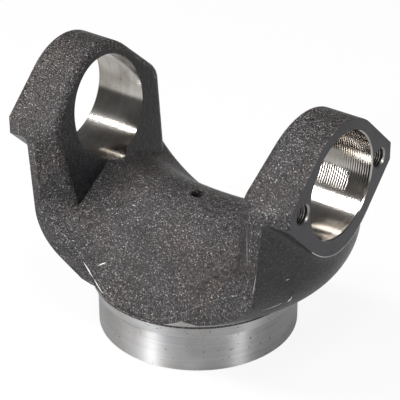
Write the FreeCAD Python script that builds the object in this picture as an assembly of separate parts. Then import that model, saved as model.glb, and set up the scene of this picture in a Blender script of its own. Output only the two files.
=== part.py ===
import FreeCAD, Part
import math
import os

# Forged yoke for the end of a drive shaft tube: one closed-die forging, machined on its
# pilot ring, its weld bevel, its two trunnion bores and its two outer ear faces.
# Millimetres. Z is the shaft axis, X is the trunnion axis, and the origin is at the
# middle of the pilot's end face, which the yoke stands on.

Vector = FreeCAD.Vector
ALONG_X = Vector(1, 0, 0)
ALONG_Y = Vector(0, 1, 0)
ALONG_Z = Vector(0, 0, 1)
ORIGIN = Vector(0, 0, 0)

# ---- machined tube end ----
PILOT_RADIUS = 47.4            # fits inside the drive shaft tube
PILOT_HEIGHT = 19.0
PILOT_LEAD_CHAMFER = 0.8
BEVEL_FOOT_STEP = 0.5          # shoulder the tube end meets
BEVEL_SLOPE_DEG = 22.0         # from the shaft axis
BEVEL_RUN = 12.0               # height over which the weld bevel is turned

# ---- trunnion bores, bearing bolts and ear faces ----
BORE_HEIGHT = 96.4
BORE_RADIUS = 24.61
BORE_CHAMFER = 0.6
EAR_FACE_SPAN = 154.8          # across the two machined outer faces
BOLT_SPACING = 61.2
BOLT_HOLE_RADIUS = 4.3         # tapping size
BOLT_HOLE_DEPTH = 22.0
BOLT_HOLE_CHAMFER = 0.7
DRILL_POINT_DEG = 118.0
DRILL_CHISEL_RADIUS = 0.6      # blunt end of the drill point

# ---- forged ears ----
EAR_TOP_RADIUS = 30.3          # about the bore axis
EAR_FLANK_DEG = 43.5           # slope of the straight flank below the top arc
EAR_SHOULDER_FILLET = 9.0      # between flank and slanted side
EAR_INNER_EDGE_FILLET = 4.5
EAR_GAP_AT_BORE = 101.8        # between the inner faces, level with the bores
EAR_DRAFT_DEG = 9.3
EAR_ROOT_HEIGHT = 44.0         # the ears run down inside the body to here

# ---- slanted sides of the ears, above the parting line ----
SLANT_FOOT_X = 59.2            # where the slant meets the outline, from the shaft axis
SLANT_FOOT_Y = 43.4
SLANT_ANGLE_DEG = 33.5         # from the trunnion axis, seen from above

# ---- bearing pads on the outer faces ----
PAD_RADIUS = 31.8              # under the bore, about its axis
PAD_FLANK_DEG = 45.0           # slope of the pad's underside out to its tips
PAD_ROOT_X = 52.0              # the pads start inside the legs
PAD_FILLET = 5.0               # under the pads

# ---- forged saddle between the ears ----
SADDLE_HEIGHT = 66.5
SADDLE_CREST_RADIUS = 27.0
SADDLE_SLOPE_DEG = 45.0        # of the front and back
SADDLE_HALF_WIDTH = 49.0       # where the gap's walls stand at the middle
SADDLE_FLARE = 12.0            # the walls stand wider by this at the front and back
SADDLE_FILLET_CREST = 17.5     # between saddle and wall at the middle
SADDLE_FILLET_MOUTH = 10.0     # and at the front and back
TROUGH_OVERRUN = 3.0           # the gap is cut past the forging by this
DOME_START_Y = 8.0             # the crest is straight up to here
DOME_FULL_Y = 34.0             # the hollow sweep between the lobes is full from here
DOME_SWEEP_RADIUS = 72.0
CREST_SWEEP_RADIUS = 900.0     # the crest itself sags this slightly
VENT_RADIUS = 3.15

# ---- lobes beside the ears' feet ----
LOBE_HEIGHT = 67.6
LOBE_RADIUS = 13.0             # of their rounded tops
LOBE_CREST_Y = 32.5            # where the rounding starts
LOBE_INNER_Y = 26.0            # nearer the middle the ears' roots rise above the lobes
EAR_ROOT_TOP = 86.0            # the roots blend into the ears up to here

# ---- forged outline seen from above: half widths at distances along the trunnion axis ----
HUB_HALF_WIDTH = 50.5
HUB_HEIGHT = 26.5              # of the round hub over the tube, at the front and back
OUTLINE = [(18.0, 48.6), (32.0, 45.6), (58.0, 43.7), (77.4, 40.2), (92.0, 36.0)]

# ---- forged bowl under the ears ----
BOWL_TOP_RADIUS = 78.0         # about the shaft axis, level with the trunnion bores
BOWL_SIDE_DRAFT_DEG = 3.6
BOWL_CORNER_RADIUS = 28.0      # between the side and the cone under it
BOWL_CORNER_HEIGHT = 58.0      # where the side ends
BOWL_CONE_DEG = 52.0           # from the shaft axis, where it runs down to the tube
BOWL_SWEEP_DEG = 200.0         # turned for one half, a little past the middle plane

# ---- forged hollow under the saddle ----
HOLLOW_MOUTH_RADIUS = 39.5
HOLLOW_DRAFT_DEG = 7.0
HOLLOW_HEIGHT = 45.0
HOLLOW_TOP_RADIUS = 16.0       # corner between the hollow's wall and its roof
HOLLOW_MOUTH_CHAMFER = 1.0

# ---- worked out from the sizes above ----
FACE_X = EAR_FACE_SPAN / 2
DRAFT_SLOPE = math.tan(math.radians(EAR_DRAFT_DEG))
TOP_CLEAR = BORE_HEIGHT + 2 * EAR_TOP_RADIUS
SIDE_CLEAR = 2 * HUB_HALF_WIDTH
ON_SURFACE = 0.05              # a point this near a surface counts as on it
SLIVER = 1.0                   # an edge shorter than this along an axis follows the others
CURVE_SAMPLES = 5              # points looked at on an edge


def inner_face_x(height):
    """Distance of an ear's inner face from the shaft axis at a height."""
    return EAR_GAP_AT_BORE / 2 + DRAFT_SLOPE * (height - BORE_HEIGHT)


def polygon_face(points):
    """Flat face with straight sides."""
    return Part.Face(Part.makePolygon(points + [points[0]]))


def across_x(shape):
    """The same shape on the other side of the shaft axis along X."""
    return shape.mirror(ORIGIN, ALONG_X)


def across_y(shape):
    """The same shape on the other side of the shaft axis along Y."""
    return shape.mirror(ORIGIN, ALONG_Y)


def outline_prism():
    """Everything inside the forging's outline seen from above."""
    right = [Vector(x, -w, 0) for x, w in OUTLINE]
    left = [Vector(-x, -w, 0) for x, w in reversed(OUTLINE)]
    curve = Part.BSplineCurve()
    curve.interpolate(left + [Vector(0, -HUB_HALF_WIDTH, 0)] + right)
    front = curve.toShape()
    end_x, end_w = OUTLINE[-1]
    end = Part.makeLine(Vector(end_x, -end_w, 0), Vector(end_x, end_w, 0))
    wire = Part.Wire(Part.__sortEdges__([front, across_y(front), end, across_x(end)]))
    return Part.Face(wire).extrude(ALONG_Z * TOP_CLEAR)


def arch_profile(radius, flank_deg, way):
    """Half-endless area in the plane of the bores: an arc about the bore axis with straight
    flanks that leave it tangentially. It opens downward for way +1 and upward for -1."""
    flank = math.radians(flank_deg)
    reach = SIDE_CLEAR
    centre = Vector(0, 0, BORE_HEIGHT)
    sideways = Vector(0, math.sin(flank), 0)
    upward = Vector(0, 0, way * math.cos(flank))
    along_flank = Vector(0, math.cos(flank), -way * math.sin(flank)) * reach
    tangent = centre + (sideways + upward) * radius
    other = centre + (upward - sideways) * radius
    foot = tangent + along_flank
    other_foot = Vector(0, -foot.y, foot.z)
    far = Vector(0, 0, -way * reach)
    edges = [
        Part.Arc(other, centre + Vector(0, 0, way * radius), tangent).toShape(),
        Part.makeLine(tangent, foot),
        Part.makeLine(foot, foot + far),
        Part.makeLine(foot + far, other_foot + far),
        Part.makeLine(other_foot + far, other_foot),
        Part.makeLine(other_foot, other),
    ]
    return Part.Face(Part.Wire(edges))


def bowl_corner():
    """Middle of the arc at the bowl's corner, in the plane of the bores."""
    draft = math.radians(BOWL_SIDE_DRAFT_DEG)
    side_x = BOWL_TOP_RADIUS - math.tan(draft) * (BORE_HEIGHT - BOWL_CORNER_HEIGHT)
    inward = Vector(-math.cos(draft), 0, math.sin(draft))
    return Vector(side_x, 0, BOWL_CORNER_HEIGHT) + inward * BOWL_CORNER_RADIUS


def bowl_body():
    """One half of the lower die's bowl: a drafted side, an arc and a straight cone, turned
    about the shaft axis."""
    cone = math.radians(BOWL_CONE_DEG)
    draft = math.radians(BOWL_SIDE_DRAFT_DEG)
    halfway = (cone + draft) / 2
    centre = bowl_corner()

    def on_arc(angle):
        return centre + Vector(math.cos(angle), 0, -math.sin(angle)) * BOWL_CORNER_RADIUS

    side = on_arc(draft)
    joint = on_arc(cone)
    foot_height = PILOT_HEIGHT / 2
    foot = Vector(joint.x - math.tan(cone) * (joint.z - foot_height), 0, foot_height)
    top = Vector(side.x + math.tan(draft) * (TOP_CLEAR - side.z), 0, TOP_CLEAR)
    edges = [
        Part.makeLine(Vector(0, 0, foot.z), foot),
        Part.makeLine(foot, joint),
        Part.Arc(joint, on_arc(halfway), side).toShape(),
        Part.makeLine(side, top),
        Part.makeLine(top, Vector(0, 0, top.z)),
        Part.makeLine(Vector(0, 0, top.z), Vector(0, 0, foot.z)),
    ]
    profile = Part.Face(Part.Wire(edges))
    profile.rotate(ORIGIN, ALONG_Z, -BOWL_SWEEP_DEG / 2)
    return profile.revolve(ORIGIN, ALONG_Z, BOWL_SWEEP_DEG)


def saddle_floor(y):
    """Height of the saddle's surface on the middle plane at a distance y from the crest."""
    slope = math.radians(SADDLE_SLOPE_DEG)
    crest_half = SADDLE_CREST_RADIUS * math.sin(slope)
    if y <= crest_half:
        return SADDLE_HEIGHT - SADDLE_CREST_RADIUS + math.sqrt(SADDLE_CREST_RADIUS**2 - y**2)
    crest_drop = SADDLE_CREST_RADIUS * (1 - math.cos(slope))
    return SADDLE_HEIGHT - crest_drop - math.tan(slope) * (y - crest_half)


def trough_section(y):
    """Outline of the gap between the ears on one plane across the shaft axis: a wide sweep
    through the middle, a fillet at each end of it and upright walls."""
    distance = abs(y)
    mouth_share = distance / HUB_HALF_WIDTH
    dome_share = (distance - DOME_START_Y) / (DOME_FULL_Y - DOME_START_Y)
    dome_share = min(max(dome_share, 0.0), 1.0)
    sweep = 1 / ((1 - dome_share) / CREST_SWEEP_RADIUS + dome_share / DOME_SWEEP_RADIUS)
    radius = SADDLE_FILLET_CREST + mouth_share * (SADDLE_FILLET_MOUTH - SADDLE_FILLET_CREST)
    wall = SADDLE_HALF_WIDTH + mouth_share * SADDLE_FLARE
    floor = Vector(0, y, saddle_floor(distance))
    sweep_centre = floor + ALONG_Z * sweep
    fillet_x = wall - radius
    drop = math.sqrt((sweep - radius)**2 - fillet_x**2)
    fillet_centre = Vector(fillet_x, y, sweep_centre.z - drop)
    outward = (fillet_centre - sweep_centre).normalize()
    joint = fillet_centre + outward * radius
    middle = fillet_centre + (outward + ALONG_X).normalize() * radius
    touch = fillet_centre + ALONG_X * radius
    lip = Vector(wall, y, TOP_CLEAR)

    def other_side(point):
        return Vector(-point.x, point.y, point.z)

    return Part.Wire([
        Part.makeLine(other_side(lip), other_side(touch)),
        Part.Arc(other_side(touch), other_side(middle), other_side(joint)).toShape(),
        Part.Arc(other_side(joint), floor, joint).toShape(),
        Part.Arc(joint, middle, touch).toShape(),
        Part.makeLine(touch, lip),
        Part.makeLine(lip, other_side(lip)),
    ])


def trough():
    """The gap over the saddle, open at the front and back."""
    crest_half = SADDLE_CREST_RADIUS * math.sin(math.radians(SADDLE_SLOPE_DEG))
    stations = [crest_half / 2, crest_half, (crest_half + DOME_FULL_Y) / 2, DOME_FULL_Y,
                (DOME_FULL_Y + HUB_HALF_WIDTH) / 2, HUB_HALF_WIDTH + TROUGH_OVERRUN]
    stations = [-y for y in reversed(stations)] + [0.0] + stations
    return Part.makeLoft([trough_section(y) for y in stations], True, False)


def body_trimmer():
    """What lies above the body: over the ears' roots in the middle and over the rounded tops
    of the lobes at the front and back."""
    centre = Vector(-SIDE_CLEAR, LOBE_CREST_Y, LOBE_HEIGHT - LOBE_RADIUS)
    crest = centre + ALONG_Z * LOBE_RADIUS
    middle = centre + (ALONG_Y + ALONG_Z).normalize() * LOBE_RADIUS
    foot = centre + ALONG_Y * LOBE_RADIUS
    far = Vector(foot.x, SIDE_CLEAR, foot.z)
    inner = Vector(crest.x, LOBE_INNER_Y, crest.z)
    root = Vector(inner.x, inner.y, EAR_ROOT_TOP)
    half = [
        Part.makeLine(root, inner),
        Part.makeLine(inner, crest),
        Part.Arc(crest, middle, foot).toShape(),
        Part.makeLine(foot, far),
        Part.makeLine(far, Vector(far.x, far.y, TOP_CLEAR)),
    ]
    other_half = [across_y(edge) for edge in half]
    level = [
        Part.makeLine(Vector(root.x, -root.y, root.z), root),
        Part.makeLine(Vector(far.x, -far.y, TOP_CLEAR), Vector(far.x, far.y, TOP_CLEAR)),
    ]
    wire = Part.Wire(Part.__sortEdges__(half + other_half + level))
    return Part.Face(wire).extrude(ALONG_X * 2 * SIDE_CLEAR)


def slant_face():
    """Plan of an ear between its slanted sides, from inside the gap to past its outer face."""
    slope = math.tan(math.radians(SLANT_ANGLE_DEG))
    near_x = inner_face_x(0)
    near_y = SLANT_FOOT_Y - slope * (SLANT_FOOT_X - near_x)
    far_x = SIDE_CLEAR
    far_y = SLANT_FOOT_Y + slope * (far_x - SLANT_FOOT_X)
    return polygon_face([
        Vector(near_x, -near_y, EAR_ROOT_HEIGHT),
        Vector(far_x, -far_y, EAR_ROOT_HEIGHT),
        Vector(far_x, far_y, EAR_ROOT_HEIGHT),
        Vector(near_x, near_y, EAR_ROOT_HEIGHT),
    ])


def ear_block():
    """One ear with its rounded inner edge and shoulders, before the outline trims it."""
    arch = arch_profile(EAR_TOP_RADIUS, EAR_FLANK_DEG, 1).extrude(ALONG_X * SIDE_CLEAR)
    block = slant_face().extrude(ALONG_Z * TOP_CLEAR).common(arch)
    shoulders = [e for e in block.Edges if is_shoulder(e)]
    block = block.makeFillet(EAR_SHOULDER_FILLET, shoulders)
    bottom_x = inner_face_x(0)
    top_x = inner_face_x(TOP_CLEAR)
    gap = polygon_face([
        Vector(-SIDE_CLEAR, -SIDE_CLEAR, 0),
        Vector(bottom_x, -SIDE_CLEAR, 0),
        Vector(top_x, -SIDE_CLEAR, TOP_CLEAR),
        Vector(-SIDE_CLEAR, -SIDE_CLEAR, TOP_CLEAR),
    ]).extrude(ALONG_Y * 2 * SIDE_CLEAR)
    block = block.cut(gap)
    rim = [e for e in block.Edges if is_inner_rim(e)]
    return block.makeFillet(EAR_INNER_EDGE_FILLET, rim)


def is_shoulder(edge):
    """True for an edge where a flank meets a slanted side: it runs along no axis."""
    box = edge.BoundBox
    return min(box.XLength, box.YLength, box.ZLength) > SLIVER


def is_inner_rim(edge):
    """True for the edges round the drafted inner face, except along the bottom."""
    points = edge.discretize(CURVE_SAMPLES)
    on_face = all(abs(p.x - inner_face_x(p.z)) < ON_SURFACE for p in points)
    return on_face and edge.BoundBox.ZMax > EAR_ROOT_HEIGHT + SLIVER


def body_core():
    """Half of the body between and under the ears, before the outline and the bowl trim it."""
    reach = (SIDE_CLEAR + OUTLINE[-1][0]) / 2
    block = Part.makeBox(reach, 2 * reach, TOP_CLEAR, Vector(0, -reach, 0))
    return block.cut(trough()).cut(body_trimmer())


def bearing_pad():
    """Everything above the underside of one bearing pad."""
    pad = arch_profile(PAD_RADIUS, PAD_FLANK_DEG, -1)
    pad.translate(ALONG_X * PAD_ROOT_X)
    return pad.extrude(ALONG_X * SIDE_CLEAR)


def is_pad_root(edge):
    """True for an edge where the underside of a pad meets the bowl."""
    box = edge.BoundBox
    outside = box.XMin > PAD_ROOT_X and box.YLength > SLIVER and box.ZMin < BORE_HEIGHT
    return outside and all(on_bowl(point) for point in edge.discretize(CURVE_SAMPLES))


def on_bowl(point):
    """True for a point on the side of the bowl or on its corner."""
    centre = bowl_corner()
    out = math.hypot(point.x, point.y)
    draft = math.radians(BOWL_SIDE_DRAFT_DEG)
    from_centre = Vector(out - centre.x, 0, point.z - centre.z)
    if point.z < BOWL_CORNER_HEIGHT:
        return abs(from_centre.Length - BOWL_CORNER_RADIUS) < ON_SURFACE
    side = from_centre.x * math.cos(draft) - from_centre.z * math.sin(draft)
    return abs(side - BOWL_CORNER_RADIUS) < ON_SURFACE


def lower_die():
    """Half of the bowl with one bearing pad blended into it."""
    reach = OUTLINE[-1][0]
    room = Part.makeBox(reach, 2 * reach, TOP_CLEAR, Vector(0, -reach, 0))
    die = bowl_body().fuse(bearing_pad()).common(room)
    return die.makeFillet(PAD_FILLET, [e for e in die.Edges if is_pad_root(e)])


def forging():
    """The yoke as it leaves the dies, before any machining: one half and its mirror image."""
    half = body_core().fuse(ear_block()).common(outline_prism()).common(lower_die())
    return half.fuse(across_x(half))


def facing_slabs():
    """The stock beyond the machined outer face of each ear."""
    corner = Vector(FACE_X, -SIDE_CLEAR, 0)
    slab = Part.makeBox(SIDE_CLEAR, 2 * SIDE_CLEAR, TOP_CLEAR, corner)
    return [slab, across_x(slab)]


def turned_profile():
    """Half section of what turning leaves: pilot, shoulder and weld bevel."""
    foot = PILOT_RADIUS + BEVEL_FOOT_STEP
    flare = BEVEL_RUN * math.tan(math.radians(BEVEL_SLOPE_DEG))
    bevel_top = PILOT_HEIGHT + BEVEL_RUN
    return [
        Vector(PILOT_RADIUS - PILOT_LEAD_CHAMFER, 0, 0),
        Vector(PILOT_RADIUS, 0, PILOT_LEAD_CHAMFER),
        Vector(PILOT_RADIUS, 0, PILOT_HEIGHT),
        Vector(foot, 0, PILOT_HEIGHT),
        Vector(foot + flare, 0, bevel_top),
        Vector(SIDE_CLEAR, 0, bevel_top),
        Vector(SIDE_CLEAR, 0, 0),
    ]


def turning_cut():
    """The ring of stock that turning the tube end takes off."""
    return polygon_face(turned_profile()).revolve(ORIGIN, ALONG_Z, 360)


def hollow():
    """The forged pocket under the saddle, with a rounded roof."""
    draft = math.tan(math.radians(HOLLOW_DRAFT_DEG))
    mouth = HOLLOW_MOUTH_RADIUS
    pocket = Part.makeCone(mouth, mouth - draft * HOLLOW_HEIGHT, HOLLOW_HEIGHT)
    rim = [e for e in pocket.Edges if e.BoundBox.ZMin > HOLLOW_HEIGHT / 2]
    pocket = pocket.makeFillet(HOLLOW_TOP_RADIUS, rim)
    lead = Part.makeCone(mouth + HOLLOW_MOUTH_CHAMFER, mouth, HOLLOW_MOUTH_CHAMFER)
    return pocket.fuse(lead)


def bore_cut():
    """Both trunnion bores, in one line, with their outer chamfers."""
    start = Vector(-SIDE_CLEAR, 0, BORE_HEIGHT)
    line = Part.makeCylinder(BORE_RADIUS, 2 * SIDE_CLEAR, start, ALONG_X)
    mouth = Vector(FACE_X - BORE_CHAMFER, 0, BORE_HEIGHT)
    lead = Part.makeCone(BORE_RADIUS, BORE_RADIUS + 2 * BORE_CHAMFER, 2 * BORE_CHAMFER,
                         mouth, ALONG_X)
    return line.fuse([lead, across_x(lead)])


def bolt_hole():
    """One blind tapping hole, with its drill point and chamfer."""
    mouth = Vector(FACE_X, BOLT_SPACING / 2, BORE_HEIGHT)
    inward = -ALONG_X
    point = (BOLT_HOLE_RADIUS - DRILL_CHISEL_RADIUS) / math.tan(math.radians(DRILL_POINT_DEG / 2))
    wide = BOLT_HOLE_RADIUS + 2 * BOLT_HOLE_CHAMFER
    hole = Part.makeCylinder(BOLT_HOLE_RADIUS, BOLT_HOLE_DEPTH, mouth, inward)
    bottom = mouth + inward * BOLT_HOLE_DEPTH
    tip = Part.makeCone(BOLT_HOLE_RADIUS, DRILL_CHISEL_RADIUS, point, bottom, inward)
    lead = Part.makeCone(wide, BOLT_HOLE_RADIUS, 2 * BOLT_HOLE_CHAMFER,
                         mouth - inward * BOLT_HOLE_CHAMFER, inward)
    return hole.fuse([tip, lead])


def bolt_holes():
    """The four blind holes, two beside each bore."""
    pair = [bolt_hole(), across_y(bolt_hole())]
    return pair + [across_x(hole) for hole in pair]


def main():
    """Forge, machine and export the yoke."""
    os.makedirs("parts", exist_ok=True)
    yoke = forging().fuse(Part.makeCylinder(HUB_HALF_WIDTH, HUB_HEIGHT))
    vent = Part.makeCylinder(VENT_RADIUS, TOP_CLEAR)
    cuts = facing_slabs() + [turning_cut(), hollow(), bore_cut(), vent] + bolt_holes()
    for tool in cuts:
        yoke = yoke.cut(tool)
    yoke = yoke.removeSplitter()
    print("solids", len(yoke.Solids), "valid", yoke.isValid(), "volume", round(yoke.Volume))
    yoke.exportStep("parts/forged_yoke.step")


main()
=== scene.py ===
"""Looks of a forged drive shaft yoke: shot-blasted forging, machined rings, bores and faces.

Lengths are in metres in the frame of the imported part: Z is the shaft axis, X is the trunnion
axis, and the yoke stands on its pilot ring.
"""

import logging
import math
import random
from dataclasses import dataclass, field
from enum import Enum

import bpy
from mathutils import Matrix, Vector
from mathutils.bvhtree import BVHTree


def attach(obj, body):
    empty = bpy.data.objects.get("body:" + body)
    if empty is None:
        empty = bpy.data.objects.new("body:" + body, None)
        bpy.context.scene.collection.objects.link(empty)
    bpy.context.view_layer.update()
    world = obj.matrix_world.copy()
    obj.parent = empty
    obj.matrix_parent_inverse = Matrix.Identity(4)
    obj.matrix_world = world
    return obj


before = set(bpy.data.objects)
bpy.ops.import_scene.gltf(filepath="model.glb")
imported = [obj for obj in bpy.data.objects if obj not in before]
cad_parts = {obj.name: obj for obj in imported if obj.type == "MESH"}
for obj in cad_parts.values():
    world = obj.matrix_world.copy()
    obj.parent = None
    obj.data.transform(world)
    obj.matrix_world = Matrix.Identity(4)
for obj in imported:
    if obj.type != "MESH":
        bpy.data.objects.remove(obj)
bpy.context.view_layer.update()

LOG = logging.getLogger("yoke")
MM = 0.001
NODE = "forged_yoke"
BODY = "root"
SEED = 7
FULL_TURN = 2 * math.pi

# Sockets of the mix node that carry colours, and the range that noise mostly stays in.
MIX_FIRST, MIX_SECOND, MIX_RESULT = 6, 7, 2
NOISE_LOW, NOISE_HIGH = 0.3, 0.7

Colour = tuple[float, float, float]
Point = tuple[float, float, float]
Place = tuple[Vector, Vector]
Face = tuple[int, ...]


class Surface(Enum):
    """The kinds of surface the yoke has, in the order of its material slots."""

    FORGED = 0
    # The smooth forged skin is also much darker than the rest of the skin: painted shade on the
    # ears' inner faces and the undersides.
    SMOOTH_FORGED = 1
    TURNED = 2
    FACED = 3
    BORED = 4
    THREADED = 5


class Tone(Enum):
    """How a mark on the skin looks."""

    BRIGHT = "bright"
    DARK = "dark"


@dataclass(frozen=True)
class YokeSizes:
    """Sizes of the machined features, as the part has them.

    Attributes:
        bore_height: height of the trunnion axis.
        bore_radius: radius of the two trunnion bores.
        face_x: distance of the machined ear faces from the shaft axis.
        bolt_spacing: distance between the two tapped holes of an ear.
        bolt_radius: radius of the tapping holes.
        pilot_height: height of the ring that fits inside the tube.
        bevel_foot: radius at the foot of the weld bevel.
        bevel_slope: growth in radius for each metre of height of the bevel.
        bevel_top: height where turning stops.
        hollow_radius: radius of the mouth of the forged pocket.
        gap_at_bore: distance between the ears' inner faces, level with the bores.
        ear_draft: how much an inner face leans out for each metre of height.
    """

    bore_height: float = 96.4 * MM
    bore_radius: float = 24.61 * MM
    face_x: float = 77.4 * MM
    bolt_spacing: float = 61.2 * MM
    bolt_radius: float = 4.3 * MM
    pilot_height: float = 19.0 * MM
    bevel_foot: float = 47.9 * MM
    bevel_slope: float = math.tan(math.radians(22.0))
    bevel_top: float = 31.0 * MM
    hollow_radius: float = 39.5 * MM
    gap_at_bore: float = 101.8 * MM
    ear_draft: float = math.tan(math.radians(9.3))

    def inner_face_x(self, height: float) -> float:
        """Distance of an ear's inner face from the shaft axis at a height."""
        return self.gap_at_bore / 2 + self.ear_draft * (height - self.bore_height)

    def from_bore(self, point: Vector) -> float:
        """Distance of a point from the trunnion axis."""
        return math.hypot(point.y, point.z - self.bore_height)

    def from_bolt(self, point: Vector) -> float:
        """Distance of a point from the axis of the nearer tapped hole."""
        return math.hypot(abs(point.y) - self.bolt_spacing / 2, point.z - self.bore_height)


class Shader:
    """A small helper that grows one node material."""

    def __init__(self, name: str) -> None:
        """Start a material with one Principled shader.

        Args:
            name: name of the material.
        """
        self.material = bpy.data.materials.new(name)
        self.material.use_nodes = True
        self.tree = self.material.node_tree
        self.shader = self.tree.nodes["Principled BSDF"]
        self.place = self.add("ShaderNodeTexCoord").outputs["Object"]

    def add(self, kind: str, **settings: object) -> bpy.types.Node:
        """Add a node and set its properties.

        Args:
            kind: type name of the node.
            **settings: properties of the node.

        Returns:
            The new node.
        """
        node = self.tree.nodes.new(kind)
        for key, value in settings.items():
            setattr(node, key, value)
        return node

    def join(self, start: bpy.types.NodeSocket, end: bpy.types.NodeSocket) -> None:
        """Link an output to an input."""
        self.tree.links.new(start, end)

    def drive(self, source: bpy.types.NodeSocket, name: str) -> None:
        """Link an output to a named input of the Principled shader."""
        self.join(source, self.shader.inputs[name])

    def fix(self, name: str, value: float) -> None:
        """Give a named input of the Principled shader a constant value."""
        self.shader.inputs[name].default_value = value

    def noise(self, scale: float, detail: float, stretch: Point = (1.0, 1.0, 1.0),
              roughness: float = 0.5) -> bpy.types.NodeSocket:
        """Grey noise fixed to the part.

        Args:
            scale: grains for each metre.
            detail: octaves of finer grain.
            stretch: scale along each axis.
            roughness: strength of the finer grain.

        Returns:
            The noise value, from 0 to 1.
        """
        mapping = self.add("ShaderNodeMapping")
        mapping.inputs["Scale"].default_value = stretch
        self.join(self.place, mapping.inputs["Vector"])
        noise = self.add("ShaderNodeTexNoise")
        noise.inputs["Scale"].default_value = scale
        noise.inputs["Detail"].default_value = detail
        noise.inputs["Roughness"].default_value = roughness
        self.join(mapping.outputs["Vector"], noise.inputs["Vector"])
        return noise.outputs["Fac"]

    def ramp(self, source: bpy.types.NodeSocket,
             stops: list[tuple[float, Colour]]) -> bpy.types.NodeSocket:
        """Colours along a value.

        Args:
            source: the value.
            stops: places and colours, lowest first.

        Returns:
            The colour output.
        """
        node = self.add("ShaderNodeValToRGB")
        elements = node.color_ramp.elements
        while len(elements) < len(stops):
            elements.new(1.0)
        for element, (place, colour) in zip(elements, stops):
            element.position = place
            element.color = (*colour, 1.0)
        self.join(source, node.inputs["Fac"])
        return node.outputs["Color"]

    def grey_ramp(self, source: bpy.types.NodeSocket,
                  stops: list[tuple[float, float]]) -> bpy.types.NodeSocket:
        """Greys along a value, given as places and grey levels, lowest first."""
        return self.ramp(source, [(place, (grey, grey, grey)) for place, grey in stops])

    def multiply(self, first: bpy.types.NodeSocket,
                 second: bpy.types.NodeSocket) -> bpy.types.NodeSocket:
        """Multiply two colours.

        Args:
            first: one colour output.
            second: the other colour output.

        Returns:
            The product's colour output.
        """
        mix = self.add("ShaderNodeMix", data_type="RGBA", blend_type="MULTIPLY")
        mix.inputs["Factor"].default_value = 1.0
        self.join(first, mix.inputs[MIX_FIRST])
        self.join(second, mix.inputs[MIX_SECOND])
        return mix.outputs[MIX_RESULT]

    def bump(self, heights: list[tuple[bpy.types.NodeSocket, float]]) -> None:
        """Chain bumps into the shader's normal.

        Args:
            heights: each height field with its depth in metres.
        """
        normal = None
        for height, depth in heights:
            bump = self.add("ShaderNodeBump")
            bump.inputs["Strength"].default_value = 1.0
            bump.inputs["Distance"].default_value = depth
            self.join(height, bump.inputs["Height"])
            if normal is not None:
                self.join(normal, bump.inputs["Normal"])
            normal = bump.outputs["Normal"]
        self.drive(normal, "Normal")


@dataclass(frozen=True)
class ForgedSkin:
    """Shot-blasted, lightly oiled forging skin.

    Attributes:
        name: name of the material.
        dark: colour in the pits.
        mid: colour between them.
        light: colour of the high grains.
        spark: colour of the few grains the shot left bright.
        sparks: noise level above which a grain is bright.
        levels: noise levels of the dark, mid and light colours.
        spark_edge: how sharply a bright grain begins.
        grain: grains for each metre.
        pits: number of pits for each grain.
        grain_depth: depth of the finest grain.
        pit_depth: depth of the coarser pits.
        pit_shade: noise levels and greys of the pits.
        mottle: darker patches for each metre.
        mottle_shade: noise levels and greys of those patches.
        tint: warm and cool patches for each metre.
        tints: noise levels and colours of those patches.
        gloss: roughness in the pits and on the high ground.
        metallic: metallic share of the shader.
    """

    name: str = "forged_skin"
    dark: Colour = (0.006, 0.0055, 0.006)
    mid: Colour = (0.038, 0.034, 0.035)
    light: Colour = (0.15, 0.135, 0.13)
    spark: Colour = (0.62, 0.60, 0.59)
    sparks: float = 0.66
    levels: Point = (0.36, 0.5, 0.64)
    spark_edge: float = 0.02
    grain: float = 1500.0
    pits: float = 0.35
    grain_depth: float = 0.5 * MM
    pit_depth: float = 1.0 * MM
    pit_shade: tuple[tuple[float, float], ...] = ((0.34, 0.45), (0.6, 1.0))
    mottle: float = 60.0
    mottle_shade: tuple[tuple[float, float], ...] = ((0.3, 0.6), (0.65, 1.0))
    tint: float = 35.0
    tints: tuple[tuple[float, Colour], ...] = ((0.4, (1.0, 0.94, 0.9)), (0.6, (0.93, 0.95, 1.0)))
    gloss: tuple[float, float] = (0.30, 0.55)
    metallic: float = 0.35

    def build(self) -> bpy.types.Material:
        """Make the material.

        Returns:
            The finished material.
        """
        m = Shader(self.name)
        grain = m.noise(self.grain, 2.0, roughness=0.7)
        pits = m.noise(self.grain * self.pits, 3.0, roughness=0.6)
        mottle = m.noise(self.mottle, 4.0)
        stops = list(zip(self.levels, (self.dark, self.mid, self.light)))
        colour = m.ramp(grain, stops + [(self.sparks + self.spark_edge, self.spark)])
        shade = m.multiply(m.grey_ramp(pits, self.pit_shade),
                           m.grey_ramp(mottle, self.mottle_shade))
        tint = m.ramp(m.noise(self.tint, 2.0), self.tints)
        m.drive(m.multiply(m.multiply(colour, shade), tint), "Base Color")
        m.fix("Metallic", self.metallic)
        low, high = self.gloss
        m.drive(m.grey_ramp(pits, [(NOISE_LOW, low), (NOISE_HIGH, high)]), "Roughness")
        m.bump([(pits, self.pit_depth), (grain, self.grain_depth)])
        return m.material


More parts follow.
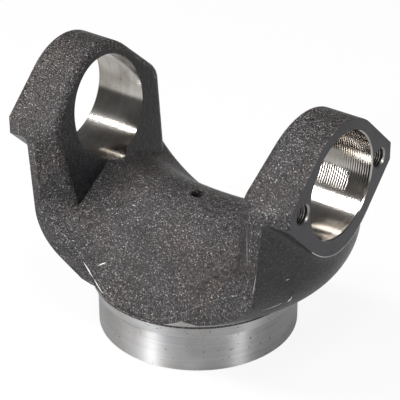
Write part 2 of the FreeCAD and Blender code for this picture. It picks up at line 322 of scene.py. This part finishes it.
@dataclass(frozen=True)
class CutSteel:
    """Steel cut by a tool, with feed marks round or along an axis.

    Attributes:
        name: name of the material.
        colour: base colour.
        roughness: shader roughness.
        mark_scale: feed marks for each metre.
        mark_stretch: how the marks run, as a scale along each axis.
        mark_depth: depth of the marks.
        mark_shade: grey in the bottom of the marks.
        anisotropy: how far the tool marks draw highlights out.
        across_marks: turn of the highlights against the marks, as a share of a full turn.
        stain: how dark the stained patches are, from 0 to 1.
        stain_tint: colour of the stain, over its darkness.
        stain_patches: stained patches for each metre.
        stain_levels: noise levels where stain ends and clean steel begins.
        pits: small rust pits for each metre.
        pit_shade: noise levels and greys of the pits.
    """

    name: str
    colour: Colour
    roughness: float
    mark_scale: float
    mark_stretch: Point = (1.0, 1.0, 1.0)
    mark_depth: float = 0.01 * MM
    mark_shade: float = 0.84
    anisotropy: float = 0.0
    across_marks: float = 0.25
    stain: float = 0.25
    stain_tint: Colour = (1.0, 0.97, 0.93)
    stain_patches: float = 45.0
    stain_levels: tuple[float, float] = (0.4, 0.6)
    pits: float = 700.0
    pit_shade: tuple[tuple[float, float], ...] = ((0.26, 0.35), (0.30, 1.0))

    def build(self) -> bpy.types.Material:
        """Make the material.

        Returns:
            The finished material.
        """
        m = Shader(self.name)
        marks = m.noise(self.mark_scale, 3.0, self.mark_stretch)
        left = 1.0 - self.stain
        red, green, blue = [c * left * t for c, t in zip(self.colour, self.stain_tint)]
        stained, clean = self.stain_levels
        worn = m.ramp(m.noise(self.stain_patches, 3.0),
                      [(stained, (red, green, blue)), (clean, self.colour)])
        tint = m.grey_ramp(marks, [(NOISE_LOW, self.mark_shade), (NOISE_HIGH, 1.0)])
        specks = m.grey_ramp(m.noise(self.pits, 1.0), self.pit_shade)
        m.drive(m.multiply(m.multiply(worn, tint), specks), "Base Color")
        m.fix("Metallic", 1.0)
        m.fix("Roughness", self.roughness)
        if self.anisotropy:
            m.fix("Anisotropic", self.anisotropy)
            around = m.add("ShaderNodeTangent", direction_type="RADIAL", axis="Z")
            m.drive(around.outputs["Tangent"], "Tangent")
            m.fix("Anisotropic Rotation", self.across_marks)
        m.bump([(marks, self.mark_depth)])
        return m.material


FINISHES = {
    Surface.FORGED: ForgedSkin(),
    # Smooth forged skin: a smoother grain, with colours darkened as painted shade for the inner
    # faces and undersides it covers.
    Surface.SMOOTH_FORGED: ForgedSkin(
        "smooth_forged_skin_painted_shade", dark=(0.010, 0.010, 0.011), mid=(0.020, 0.020, 0.022),
        light=(0.052, 0.052, 0.057), spark=(0.22, 0.22, 0.23), sparks=0.72,
        grain_depth=0.16 * MM, pit_depth=0.35 * MM, gloss=(0.32, 0.48)),
    Surface.TURNED: CutSteel(
        "turned_pilot", (0.46, 0.46, 0.47), roughness=0.46, mark_scale=900.0,
        mark_stretch=(0.02, 0.02, 1.0), anisotropy=0.9, stain=0.12),
    # The milled face's colour is much darker than cut steel: painted shade standing in for the
    # dark surroundings the face reflects.
    Surface.FACED: CutSteel(
        "milled_face_painted_shade", (0.052, 0.052, 0.057), roughness=0.34, mark_scale=500.0,
        mark_stretch=(0.05, 1.0, 1.0)),
    Surface.BORED: CutSteel(
        "bored_steel", (0.44, 0.42, 0.395), roughness=0.15, mark_scale=900.0,
        mark_stretch=(1.0, 0.02, 0.02), mark_depth=0.02 * MM, stain=0.4),
    Surface.THREADED: CutSteel(
        "tapped_steel", (0.30, 0.29, 0.28), roughness=0.3, mark_scale=500.0),
}
MARK_FINISHES = {
    Tone.BRIGHT: CutSteel("bright_metal", (0.62, 0.61, 0.60), roughness=0.3, mark_scale=500.0),
    Tone.DARK: ForgedSkin(
        "dark_scale", dark=(0.004, 0.004, 0.004), mid=(0.008, 0.008, 0.008),
        light=(0.02, 0.02, 0.02), spark=(0.03, 0.03, 0.03)),
}
TRIMMED_FLASH = ForgedSkin(
    "trimmed_flash", dark=(0.03, 0.03, 0.03), mid=(0.10, 0.10, 0.10), light=(0.28, 0.27, 0.26),
    spark=(0.7, 0.68, 0.66), sparks=0.60)


def side_name(side: int) -> str:
    """Name of the ear on one side along X."""
    return "right" if side > 0 else "left"


def quarter_name(side: int, way: int) -> str:
    """Name of the quarter on one side along X and one way along Y."""
    return f"{side_name(side)}_{'rear' if way > 0 else 'front'}"


def finished_mesh(name: str, points: list[Point], faces: list[Face],
                  material: bpy.types.Material) -> bpy.types.Object:
    """Make a mesh object of the yoke.

    Args:
        name: name of the piece.
        points: corners.
        faces: corner numbers of each face.
        material: finish of the piece.

    Returns:
        The object, riding on the yoke.
    """
    mesh = bpy.data.meshes.new(name)
    mesh.from_pydata(points, [], faces)
    mesh.update()
    mesh.shade_smooth()
    mesh.materials.append(material)
    piece = bpy.data.objects.new(name, mesh)
    bpy.context.collection.objects.link(piece)
    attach(piece, BODY)
    return piece


def wall_face(ring: int, corner: int, sides: int) -> Face:
    """Make the face of a tube between a ring and the next one.

    Args:
        ring: number of the ring.
        corner: number of the corner where the face starts.
        sides: corners of each ring.

    Returns:
        The face's corner numbers.
    """
    after = (corner + 1) % sides
    low, high = ring * sides, (ring + 1) * sides
    return low + corner, low + after, high + after, high + corner


def laid_on_skin(corners: list[Vector], step: float, closest: float = 0.25) -> list[Place]:
    """Walk a line of corners and lay it on the forging.

    Args:
        corners: the line.
        step: distance between places.
        closest: share of the step below which a place is left out.

    Returns:
        Places on the surface with the surface's directions.
    """
    tree = BVHTree.FromObject(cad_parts[NODE], bpy.context.evaluated_depsgraph_get())
    places = []
    for start, end in zip(corners, corners[1:]):
        count = max(1, round((end - start).length / step))
        for i in range(count + 1):
            near, normal, _, _ = tree.find_nearest(start.lerp(end, i / count))
            if not places or (near - places[-1][0]).length > step * closest:
                places.append((near, normal))
    return places


def ridge(name: str, places: list[Place], radii: list[float], material: bpy.types.Material,
          sides: int = 6, flat: float = 0.5) -> bpy.types.Object:
    """Make a closed ridge along places on a surface.

    Args:
        name: name of the piece.
        places: places and the surface's directions there.
        radii: half width at each place.
        material: finish of the ridge.
        sides: corners of the cross-section.
        flat: height of the ridge for each metre of half width.

    Returns:
        The ridge's object.
    """
    points = []
    for i, (place, normal) in enumerate(places):
        before = places[max(i - 1, 0)][0]
        after = places[min(i + 1, len(places) - 1)][0]
        across = normal.cross(after - before).normalized()
        for j in range(sides):
            angle = FULL_TURN * j / sides
            reach = across * math.cos(angle) + normal * flat * math.sin(angle)
            points.append(tuple(place + reach * radii[i]))
    last = len(places) - 1
    faces = [wall_face(i, j, sides) for i in range(last) for j in range(sides)]
    faces.append(tuple(range(sides))[::-1])
    faces.append(tuple(range(last * sides, (last + 1) * sides)))
    return finished_mesh(name, points, faces, material)


@dataclass
class ForgedYoke:
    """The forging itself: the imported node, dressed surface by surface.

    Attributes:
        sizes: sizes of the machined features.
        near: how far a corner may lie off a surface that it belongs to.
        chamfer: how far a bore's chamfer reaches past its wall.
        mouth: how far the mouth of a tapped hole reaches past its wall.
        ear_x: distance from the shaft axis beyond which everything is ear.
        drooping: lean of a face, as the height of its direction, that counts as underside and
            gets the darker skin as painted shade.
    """

    sizes: YokeSizes = field(default_factory=YokeSizes)
    near: float = 0.06 * MM
    chamfer: float = 0.8 * MM
    mouth: float = 1.2 * MM
    ear_x: float = 45.0 * MM
    drooping: float = -0.02

    def surface_of(self, centre: Vector, corners: list[Vector]) -> Surface:
        """Tell which kind of surface a face of the node belongs to.

        Args:
            centre: middle of the face.
            corners: its corners.

        Returns:
            The kind of surface.
        """
        s = self.sizes
        if all(abs(abs(c.x) - s.face_x) < self.near for c in corners):
            return Surface.FACED
        if all(s.from_bore(c) < s.bore_radius + self.chamfer for c in corners):
            return Surface.BORED
        in_hole = all(s.from_bolt(c) < s.bolt_radius + self.mouth for c in corners)
        if abs(centre.x) > self.ear_x and in_hole:
            return Surface.THREADED
        if centre.z < s.bevel_top + self.near and self.is_turned(corners):
            return Surface.TURNED
        # The ears' inner faces and all undersides get the darker smooth skin: painted shade.
        inside = all(abs(abs(c.x) - s.inner_face_x(c.z)) < self.near for c in corners)
        if inside or self.is_under(corners):
            return Surface.SMOOTH_FORGED
        return Surface.FORGED

    def is_under(self, corners: list[Vector]) -> bool:
        """True for a face whose outward side looks below the horizon; such a face gets painted
        shade.
        """
        normal = (corners[1] - corners[0]).cross(corners[2] - corners[0]).normalized()
        return normal.z < self.drooping

    def is_turned(self, corners: list[Vector]) -> bool:
        """Tell whether a face is on the pilot, its end, the weld step, bevel or shoulder.

        Args:
            corners: corners of the face.

        Returns:
            True where a lathe cut the face.
        """
        s = self.sizes
        if all(c.z < s.pilot_height + self.near for c in corners):
            return all(math.hypot(c.x, c.y) > s.hollow_radius + self.near for c in corners)
        if all(abs(c.z - s.bevel_top) < self.near for c in corners):
            return True
        return all(abs(math.hypot(c.x, c.y) - s.bevel_foot
                       - s.bevel_slope * (c.z - s.pilot_height)) < self.near for c in corners)

    def dress(self) -> bpy.types.Object:
        """Give each face of the node the material of its surface.

        Returns:
            The node's object.
        """
        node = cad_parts[NODE]
        mesh = node.data
        mesh.materials.clear()
        for surface in Surface:
            mesh.materials.append(FINISHES[surface].build())
        for face in mesh.polygons:
            corners = [mesh.vertices[i].co for i in face.vertices]
            face.material_index = self.surface_of(face.center, corners).value
        return node


@dataclass
class TappedThread:
    """The thread in one of the blind holes beside a bore.

    Attributes:
        side: +1 or -1, the ear it is in along X.
        way: +1 or -1, the side of the bore along Y.
        sizes: sizes of the machined features.
        pitch: rise of one turn.
        crest: radius of the crests.
        sunk: how far the root lies behind the wall of the hole.
        root_half: half the width of the ridge at its root, in pitches.
        crest_half: half its width at the crest, in pitches.
        lead: depth of the first turn below the machined face.
        turns: number of turns.
        steps: mesh steps for each turn.
    """

    side: int
    way: int
    sizes: YokeSizes = field(default_factory=YokeSizes)
    pitch: float = 1.058 * MM
    crest: float = 3.92 * MM
    sunk: float = 0.03 * MM
    root_half: float = 0.46
    crest_half: float = 0.08
    lead: float = 1.3 * MM
    turns: int = 18
    steps: int = 36

    def build(self) -> bpy.types.Object:
        """Make the helical ridge.

        Returns:
            The thread's object.
        """
        s = self.sizes
        root = s.bolt_radius + self.sunk
        profile = [(root, -self.root_half), (self.crest, -self.crest_half),
                   (self.crest, self.crest_half), (root, self.root_half)]
        start = s.face_x - self.lead
        points = []
        count = self.turns * self.steps
        for i in range(count + 1):
            angle = FULL_TURN * i / self.steps
            fade = min(1.0, i / self.steps, (count - i) / self.steps)
            for radius, along in profile:
                r = root + (radius - root) * fade
                x = start - self.pitch * (i / self.steps - along)
                y = self.way * s.bolt_spacing / 2 + r * math.cos(angle)
                points.append((self.side * x, y, s.bore_height + r * math.sin(angle)))
        sides = len(profile)
        faces = [wall_face(i, j, sides) for i in range(count) for j in range(sides)]
        name = f"tapped_thread_{quarter_name(self.side, self.way)}"
        return finished_mesh(name, points, faces, FINISHES[Surface.THREADED].build())


@dataclass
class FeedRings:
    """The boring tool's feed marks in one bore, as a thin lining on its wall.

    Attributes:
        side: +1 or -1, the ear it is in along X.
        sizes: sizes of the machined features.
        pitch: distance between rings.
        depth: height of a ring.
        lift: how far the lining stands off the wall.
        around: mesh steps round the bore.
        along: mesh steps for each ring.
        edge: room left at the ends of the bore.
        chamfer: width of the chamfer at the bore's outer end.
        ear: depth of bore, from the machined face, that holds no inner rim.
        near: how far a corner of the rim may lie off the bore's wall.
        rim_points: corners of the rim that set the end at one step.
    """

    side: int
    sizes: YokeSizes = field(default_factory=YokeSizes)
    pitch: float = 1.2 * MM
    depth: float = 0.045 * MM
    lift: float = 0.02 * MM
    around: int = 120
    along: int = 6
    edge: float = 0.25 * MM
    chamfer: float = 0.6 * MM
    ear: float = 10.0 * MM
    near: float = 0.03 * MM
    rim_points: int = 3

    def inner_ends(self) -> list[float]:
        """Find where the bore begins at each step round it.

        Returns:
            Distances from the shaft axis.
        """
        s = self.sizes
        rim = []
        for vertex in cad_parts[NODE].data.vertices:
            x, y, z = vertex.co.x * self.side, vertex.co.y, vertex.co.z - s.bore_height
            on_wall = abs(math.hypot(y, z) - s.bore_radius) < self.near
            if 0 < x < s.face_x - self.ear and on_wall:
                rim.append((math.atan2(z, y), x))
        ends = []
        for i in range(self.around):
            angle = FULL_TURN * i / self.around
            gaps = sorted((abs(math.remainder(angle - a, FULL_TURN)), x) for a, x in rim)
            ends.append(max(x for _, x in gaps[:self.rim_points]) + self.edge)
        return ends

    def build(self) -> bpy.types.Object:
        """Make the lining.

        Returns:
            The lining's object.
        """
        s = self.sizes
        ends = self.inner_ends()
        stop = s.face_x - self.chamfer - self.edge
        step = self.pitch / self.along
        count = int((stop - min(ends)) / step)
        points = []
        for i in range(count + 1):
            for j, end in enumerate(ends):
                x = max(stop - i * step, end)
                wave = 0.5 - 0.5 * math.cos(FULL_TURN * (stop - x) / self.pitch)
                radius = s.bore_radius - self.lift - self.depth * wave
                angle = FULL_TURN * j / self.around
                points.append((self.side * x, radius * math.cos(angle),
                               s.bore_height + radius * math.sin(angle)))
        faces = []
        for i in range(count):
            for j in range(self.around):
                if stop - i * step > max(ends[j], ends[(j + 1) % self.around]):
                    faces.append(wall_face(i, j, self.around))
        name = f"feed_rings_{side_name(self.side)}"
        return finished_mesh(name, points, faces, FINISHES[Surface.BORED].build())


@dataclass
class PartingSeam:
    """What trimming left of the flash along the parting line, in one quarter.

    Attributes:
        side: +1 or -1 along X.
        way: +1 or -1 along Y.
        route: points of the line in the quarter x > 0, y > 0, in millimetres.
        step: distance between mesh rings.
        thick: least and greatest half width of the ridge.
    """

    side: int
    way: int
    route: tuple[Point, ...] = (
        (70, 41, 99.5), (64.4, 42.2, 98.5), (62.3, 42.7, 97.1), (60.6, 43.1, 91.8),
        (59.4, 43.4, 81.7), (59, 43.5, 75), (58.2, 43.7, 64), (57.3, 43.9, 57.5),
        (55, 44, 55), (50, 44.4, 52.4), (41.8, 44.5, 47.8), (33.8, 44.7, 42.3),
        (28.9, 45, 38.3), (18, 48.3, 30.8), (12, 49.5, 29), (2, 50.5, 27.6))
    step: float = 0.9 * MM
    thick: tuple[float, float] = (0.12 * MM, 0.45 * MM)

    def build(self) -> bpy.types.Object:
        """Make the ridge.

        Returns:
            The ridge's object.
        """
        corners = [Vector((self.side * x, self.way * y, z)) * MM for x, y, z in self.route]
        places = laid_on_skin(corners, self.step)
        radii = [random.uniform(*self.thick) for _ in places]
        name = f"parting_seam_{quarter_name(self.side, self.way)}"
        return ridge(name, places, radii, TRIMMED_FLASH.build())


@dataclass(frozen=True)
class SkinMark:
    """A scratch, chip or slash in the forging skin.

    Attributes:
        name: name of the piece.
        start: one end, in millimetres.
        end: the other end, in millimetres.
        width: greatest half width.
        tone: bright where metal shows, dark where scale is left.
        step: distance between mesh rings.
        tip: share of the width that is left at the ends.
        uneven: least and greatest share of the width along the mark.
    """

    name: str
    start: Point
    end: Point
    width: float
    tone: Tone
    step: float = 0.5 * MM
    tip: float = 0.12
    uneven: tuple[float, float] = (0.6, 1.0)

    def build(self) -> bpy.types.Object:
        """Make the mark.

        Returns:
            The mark's object.
        """
        ends = [Vector(self.start) * MM, Vector(self.end) * MM]
        places = laid_on_skin(ends, self.step)
        last = max(len(places) - 1, 1)
        radii = [self.width * max(self.tip, math.sin(math.pi * i / last))
                 * random.uniform(*self.uneven) for i in range(len(places))]
        return ridge(self.name, places, radii, MARK_FINISHES[self.tone].build())


MARKS = (
    SkinMark("bright_chip", (69.5, -25, 49.5), (67.5, -26, 46.5), 0.9 * MM, Tone.BRIGHT),
    SkinMark("dark_slash_high", (70.5, -25, 53), (68.5, -27, 50), 0.45 * MM, Tone.DARK),
    SkinMark("dark_slash_low", (61.5, -42.5, 53), (59.5, -41.5, 47.5), 0.55 * MM, Tone.DARK),
    SkinMark("saddle_scratch", (-26, -43, 39.5), (-22.5, -40.5, 41.5), 0.3 * MM, Tone.BRIGHT),
    SkinMark("leg_speck", (69.5, -30.5, 61), (70, -28.5, 61), 0.4 * MM, Tone.BRIGHT),
    SkinMark("bowl_scrape", (61.5, -37.5, 45.5), (67, -28.5, 47.5), 0.25 * MM, Tone.BRIGHT),
    SkinMark("flash_stub", (-33.5, -44, 40), (-26.5, -45.5, 34), 0.35 * MM, Tone.BRIGHT),
    SkinMark("flash_tail", (-26.5, -45.5, 34), (-19.5, -47.5, 29), 0.35 * MM, Tone.BRIGHT),
    SkinMark("leg_seam_high", (62.5, -43, 68), (61, -43.5, 56.5), 0.22 * MM, Tone.BRIGHT),
    SkinMark("slant_seam", (56.5, -41.5, 86), (57, -42, 68.5), 0.25 * MM, Tone.BRIGHT),
    SkinMark("slant_nick", (53.5, -42.5, 58), (54, -44, 53.5), 0.4 * MM, Tone.DARK),
    SkinMark("saddle_gouge", (-31, -22.5, 59.5), (-27.5, -19, 61), 0.5 * MM, Tone.DARK),
)


@dataclass
class FaceEdge:
    """The bright arris round the lower outline of one machined ear face.

    Attributes:
        side: +1 or -1, the ear it is on along X.
        sizes: sizes of the machined features.
        radius: radius of the arris.
        sunk: share of the radius that lies behind the face.
        above: how far over the bore axis the arris still runs.
        near: how far a corner of the outline may lie off the face.
        clear: room round a bore or a tapped hole that holds no outline.
        angle_digits: decimals of the angle at which two corners count as one.
    """

    side: int
    sizes: YokeSizes = field(default_factory=YokeSizes)
    radius: float = 0.22 * MM
    sunk: float = 0.4
    above: float = -6.0 * MM
    near: float = 0.02 * MM
    clear: float = 2.0 * MM
    angle_digits: int = 3

    def outline(self) -> list[Place]:
        """Find the face's outline below the bore.

        Returns:
            Places along the outline, in order, with the direction out of the face.
        """
        s = self.sizes
        found = {}
        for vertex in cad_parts[NODE].data.vertices:
            point, over = vertex.co, vertex.co.z - s.bore_height
            on_face = abs(point.x * self.side - s.face_x) < self.near and over < self.above
            if on_face and s.from_bore(point) > s.bore_radius + self.clear and \
                    s.from_bolt(point) > s.bolt_radius + self.clear:
                found[round(math.atan2(point.y, -over), self.angle_digits)] = point.copy()
        out = Vector((self.side, 0.0, 0.0))
        return [(found[angle], out) for angle in sorted(found)]

    def build(self) -> bpy.types.Object:
        """Make the arris.

        Returns:
            The arris's object.
        """
        depth = self.radius * self.sunk
        places = [(place - out * depth, out) for place, out in self.outline()]
        return ridge(f"face_edge_{side_name(self.side)}", places, [self.radius] * len(places),
                     MARK_FINISHES[Tone.BRIGHT].build(), flat=1.0)


def direction(azimuth_deg: float, elevation_deg: float) -> Vector:
    """Point away from the part.

    Args:
        azimuth_deg: direction seen from above, 0 is -Y and 90 is +X.
        elevation_deg: height above the horizon.

    Returns:
        The unit direction.
    """
    turn, rise = math.radians(azimuth_deg), math.radians(elevation_deg)
    return Vector((math.sin(turn) * math.cos(rise), -math.cos(turn) * math.cos(rise),
                   math.sin(rise)))


@dataclass(frozen=True)
class SoftBox:
    """One rectangular lamp that looks at the part.

    Attributes:
        name: name of the lamp.
        azimuth_deg: direction seen from above, 0 is -Y and 90 is +X.
        elevation_deg: height above the horizon.
        distance: from the middle of the part.
        size: its width and height.
        power: watts.
    """

    name: str
    azimuth_deg: float
    elevation_deg: float
    distance: float
    size: tuple[float, float]
    power: float

    def build(self, aim: Vector) -> bpy.types.Object:
        """Hang the lamp.

        Args:
            aim: the point it looks at.

        Returns:
            The lamp's object.
        """
        way = direction(self.azimuth_deg, self.elevation_deg)
        data = bpy.data.lights.new(self.name, "AREA")
        data.shape = "RECTANGLE"
        data.size, data.size_y = self.size
        data.energy = self.power
        lamp = bpy.data.objects.new(self.name, data)
        bpy.context.collection.objects.link(lamp)
        lamp.location = aim + way * self.distance
        lamp.rotation_euler = way.to_track_quat("Z", "Y").to_euler()
        return lamp


LAMPS = (
    SoftBox("key_upper_left", -50.0, 58.0, 1.2, (0.40, 0.40), 17.0),
    SoftBox("strip_left", -14.0, 22.0, 1.3, (0.10, 0.9), 11.0),
    SoftBox("strip_right", 80.0, 18.0, 1.3, (0.20, 0.9), 6.0),
    SoftBox("edge_top", 35.0, 68.0, 1.3, (0.2, 0.2), 5.0),
    SoftBox("rear_top", 160.0, 60.0, 1.3, (0.3, 0.5), 4.0),
)


@dataclass
class Studio:
    """Camera, lamps, floor and white surroundings.

    Attributes:
        azimuth_deg: where the camera stands, seen from above, 0 is -Y and 90 is +X.
        elevation_deg: how high it stands above the horizon.
        roll_deg: how far it is turned about its own line of sight.
        distance: from the middle of the part.
        aim: the middle of the part.
        aside: how far the camera is moved to its right.
        above: how far it is moved up.
        lens: focal length in millimetres, for the sensor's width.
        sensor: width of the sensor in millimetres.
        room_light: brightness of the room as a light.
        room_gloss: share of white the room shows in reflections.
        floor_gloss: share of white the floor shows in reflections.
        floor_white: share of white the floor shows to the camera.
        floor_grey: grey of the floor as it is lit.
        floor_roughness: roughness of the floor.
        floor_size: length of the floor's sides.
    """

    azimuth_deg: float = 36.326
    elevation_deg: float = 30.138
    roll_deg: float = -0.33
    distance: float = 821.862 * MM
    aim: Vector = field(default_factory=lambda: Vector((0.0, 0.0, 60 * MM)))
    aside: float = 1.092 * MM
    above: float = 2.68 * MM
    lens: float = 159.80481
    sensor: float = 36.0
    room_light: float = 0.07
    room_gloss: float = 0.10
    floor_gloss: float = 0.45
    floor_white: float = 0.9
    floor_grey: float = 0.6
    floor_roughness: float = 0.9
    floor_size: float = 6.0

    def camera(self) -> bpy.types.Object:
        """Set the camera.

        Returns:
            The camera's object.
        """
        back = direction(self.azimuth_deg, self.elevation_deg)
        turn, roll = math.radians(self.azimuth_deg), math.radians(self.roll_deg)
        right = Vector((math.cos(turn), math.sin(turn), 0.0))
        up = back.cross(right)
        place = self.aim + back * self.distance + right * self.aside + up * self.above
        across = right * math.cos(roll) + up * math.sin(roll)
        upward = up * math.cos(roll) - right * math.sin(roll)
        data = bpy.data.cameras.new("camera")
        data.sensor_width = self.sensor
        data.lens = self.lens
        camera = bpy.data.objects.new("camera", data)
        bpy.context.collection.objects.link(camera)
        for column, axis in enumerate((across, upward, back, place)):
            for row in range(3):
                camera.matrix_world[row][column] = axis[row]
        bpy.context.scene.camera = camera
        return camera

    def white_where_seen(self, material: bpy.types.Material) -> None:
        """Make a surface white to the camera and in reflections, over its own shading.

        Args:
            material: the material to change.
        """
        tree = material.node_tree
        path = tree.nodes.new("ShaderNodeLightPath")
        seen = tree.nodes.new("ShaderNodeMath")
        seen.operation = "MAXIMUM"
        tree.links.new(path.outputs["Is Camera Ray"], seen.inputs[0])
        dimmed = tree.nodes.new("ShaderNodeMath")
        dimmed.operation = "MULTIPLY"
        dimmed.inputs[1].default_value = self.floor_gloss
        tree.links.new(path.outputs["Is Glossy Ray"], dimmed.inputs[0])
        tree.links.new(dimmed.outputs[0], seen.inputs[1])
        share = tree.nodes.new("ShaderNodeMath")
        share.operation = "MULTIPLY"
        share.inputs[1].default_value = self.floor_white
        tree.links.new(seen.outputs[0], share.inputs[0])
        glow = tree.nodes.new("ShaderNodeEmission")
        glow.inputs["Strength"].default_value = 1.0
        mix = tree.nodes.new("ShaderNodeMixShader")
        tree.links.new(share.outputs[0], mix.inputs["Fac"])
        tree.links.new(tree.nodes["Principled BSDF"].outputs[0], mix.inputs[1])
        tree.links.new(glow.outputs[0], mix.inputs[2])
        tree.links.new(mix.outputs[0], tree.nodes["Material Output"].inputs["Surface"])

    def room(self) -> bpy.types.World:
        """Make the white world.

        Returns:
            The world.
        """
        world = bpy.data.worlds.new("white_room")
        world.use_nodes = True
        tree = world.node_tree
        back = tree.nodes["Background"]
        back.inputs["Color"].default_value = (1.0, 1.0, 1.0, 1.0)
        path = tree.nodes.new("ShaderNodeLightPath")
        level = tree.nodes.new("ShaderNodeMapRange")
        level.inputs["To Min"].default_value = self.room_light
        level.inputs["To Max"].default_value = 1.0
        shine = tree.nodes.new("ShaderNodeMath")
        shine.operation = "MULTIPLY_ADD"
        shine.inputs[1].default_value = self.room_gloss
        tree.links.new(path.outputs["Is Glossy Ray"], shine.inputs[0])
        tree.links.new(path.outputs["Is Camera Ray"], shine.inputs[2])
        tree.links.new(shine.outputs[0], level.inputs["Value"])
        tree.links.new(level.outputs["Result"], back.inputs["Strength"])
        return world

    def floor(self) -> bpy.types.Object:
        """Lay the white floor.

        Returns:
            The floor's object.
        """
        material = bpy.data.materials.new("white_floor")
        material.use_nodes = True
        paint = material.node_tree.nodes["Principled BSDF"]
        grey = self.floor_grey
        paint.inputs["Base Color"].default_value = (grey, grey, grey, 1.0)
        paint.inputs["Roughness"].default_value = self.floor_roughness
        self.white_where_seen(material)
        bpy.ops.mesh.primitive_plane_add(size=self.floor_size)
        floor = bpy.context.object
        floor.name = "floor"
        floor.data.materials.append(material)
        return floor

    def build(self) -> None:
        """Put up the camera, lamps and surroundings."""
        LOG.info("set %s", self.camera().name)
        for lamp in LAMPS:
            LOG.info("hung %s", lamp.build(self.aim).name)
        bpy.context.scene.world = self.room()
        LOG.info("laid %s", self.floor().name)
        bpy.context.scene.view_settings.view_transform = "Standard"


def main() -> None:
    """Dress the yoke, add its fine pieces and put up the studio."""
    random.seed(SEED)
    LOG.info("dressed %s", ForgedYoke().dress().name)
    LOG.info("built %s", FeedRings(1).build().name)
    for side in (1, -1):
        for way in (1, -1):
            LOG.info("built %s", TappedThread(side, way).build().name)
            LOG.info("built %s", PartingSeam(side, way).build().name)
        LOG.info("built %s", FaceEdge(side).build().name)
    for mark in MARKS:
        LOG.info("built %s", mark.build().name)
    Studio().build()


if __name__ == "__main__":
    logging.basicConfig(level=logging.INFO, format="%(message)s")
    main()
